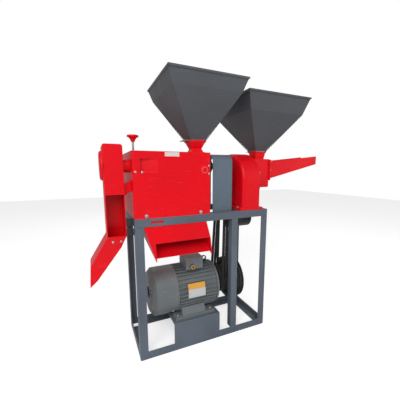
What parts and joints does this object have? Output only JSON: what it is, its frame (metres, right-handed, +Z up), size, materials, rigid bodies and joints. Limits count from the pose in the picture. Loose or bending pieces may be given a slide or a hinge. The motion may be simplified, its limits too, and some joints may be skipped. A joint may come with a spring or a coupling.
{
  "type": "rice huller",
  "caption": "Combined rice mill and claw crusher on an angle-iron stand: hoppers with shutters above, a ribbed milling roller and claw disc, one finned motor and belts below.",
  "frame": {"origin": "on the floor, at the middle of the machine's outline seen from above", "axes": "+X along the machine from the mill towards the crusher's feed tray, +Y from the front to the back, +Z up"},
  "size_m": [1.073, 0.355, 1.043],
  "materials": {
    "red_paint": "gloss enamel",
    "frame_paint": "dark blue-grey enamel",
    "guard_paint": "blue-grey enamel",
    "hopper_sheet": "dark grey painted sheet",
    "motor_paint": "grey machine enamel",
    "black_paint": "black enamel",
    "black_iron": "painted casting",
    "white_iron": "machined chilled iron",
    "shaft_steel": "turned",
    "bolt_steel": "zinc plated",
    "belt_rubber": "matte",
    "gland_brass": "turned",
    "rotor_stack": "laminated stack",
    "fan_plastic": "moulded"
  },
  "bodies": {
    "stand": {"top_rail_front": "frame_paint", "bottom_rail_front": "frame_paint", "front_legs": "frame_paint", "top_rail_back": "frame_paint", "bottom_rail_back": "frame_paint", "back_legs": "frame_paint", "top_end_rails": "frame_paint", "bottom_end_rails": "frame_paint", "frame_post": "frame_paint", "motor_stool": "frame_paint", "motor_stator": "motor_paint", "motor_drive_bell": "motor_paint", "motor_fan_cover": "motor_paint", "terminal_box": "motor_paint", "terminal_lid": "motor_paint", "cable_gland": "gland_brass", "lifting_eye": "black_iron", "mill_belts": "belt_rubber", "crusher_belt": "belt_rubber", "belt_guard": "guard_paint", "mill_housing": "red_paint", "milling_chamber": "black_iron", "milling_screen": "shaft_steel", "mill_bearings": "black_iron", "neck_tube": "red_paint", "rice_outlet": "red_paint", "air_column": "red_paint", "rice_chute": "red_paint", "column_brackets": "black_paint", "bran_chute": "red_paint", "mill_throat": "red_paint", "crusher_throat": "red_paint", "mill_hopper": "hopper_sheet", "crusher_hopper": "hopper_sheet", "crusher_casing": "red_paint", "crusher_cover": "red_paint", "crusher_sieve": "shaft_steel", "feed_mouth": "red_paint", "feed_tray": "red_paint", "discharge_hood": "black_paint", "motor_bolts": "bolt_steel", "housing_bolts": "bolt_steel", "plinth_bolts": "bolt_steel", "cover_bolts": "bolt_steel"},
    "motor_rotor": {"motor_shaft": "shaft_steel", "motor_core": "rotor_stack", "motor_fan": "fan_plastic", "motor_pulley": "black_iron"},
    "mill_rotor": {"mill_shaft": "shaft_steel", "milling_roller": "white_iron", "feed_screw": "white_iron", "blower_wheel": "black_paint", "mill_pulley": "black_iron"},
    "crusher_rotor": {"crusher_shaft": "shaft_steel", "claw_disc": "white_iron", "crusher_pulley": "black_iron"},
    "gate": {"outlet_gate": "bolt_steel"},
    "knob": {"outlet_knob": "red_paint"},
    "mill_slide": {"mill_shutter": "bolt_steel"},
    "crusher_slide": {"crusher_shutter": "bolt_steel"}
  },
  "joints": [
    {"name": "motor_spin", "type": "hinge", "parent": "stand", "child": "motor_rotor", "pos_m": [-0.0965, 0.022, 0.215], "axis": [1, 0, 0], "continuous": true},
    {"name": "mill_spin", "type": "hinge", "parent": "stand", "child": "mill_rotor", "pos_m": [-0.0965, -0.018, 0.735], "axis": [1, 0, 0], "continuous": true},
    {"name": "crusher_spin", "type": "hinge", "parent": "stand", "child": "crusher_rotor", "pos_m": [-0.0965, 0.032, 0.672], "axis": [1, 0, 0], "continuous": true},
    {"name": "gate_lift", "type": "slide", "parent": "stand", "child": "gate", "axis": [0, 0, 1], "range_m": [-0.028, 0]},
    {"name": "knob_turn", "type": "hinge", "parent": "gate", "child": "knob", "pos_m": [-0.3685, -0.048, 0.817], "axis": [0, 0, 1], "range_deg": [-2520, 0]},
    {"name": "mill_shutter_pull", "type": "slide", "parent": "stand", "child": "mill_slide", "axis": [-1, 0, 0], "range_m": [0, 0.044]},
    {"name": "crusher_shutter_pull", "type": "slide", "parent": "stand", "child": "crusher_slide", "axis": [0, 1, 0], "range_m": [0, 0.044]}
  ],
  "couplings": [
    {"joint": "mill_spin", "follows": "motor_spin", "ratio": 1.5789},
    {"joint": "crusher_spin", "follows": "motor_spin", "ratio": 2},
    {"joint": "knob_turn", "follows": "gate_lift", "rad_per_m": 1570.8}
  ]
}
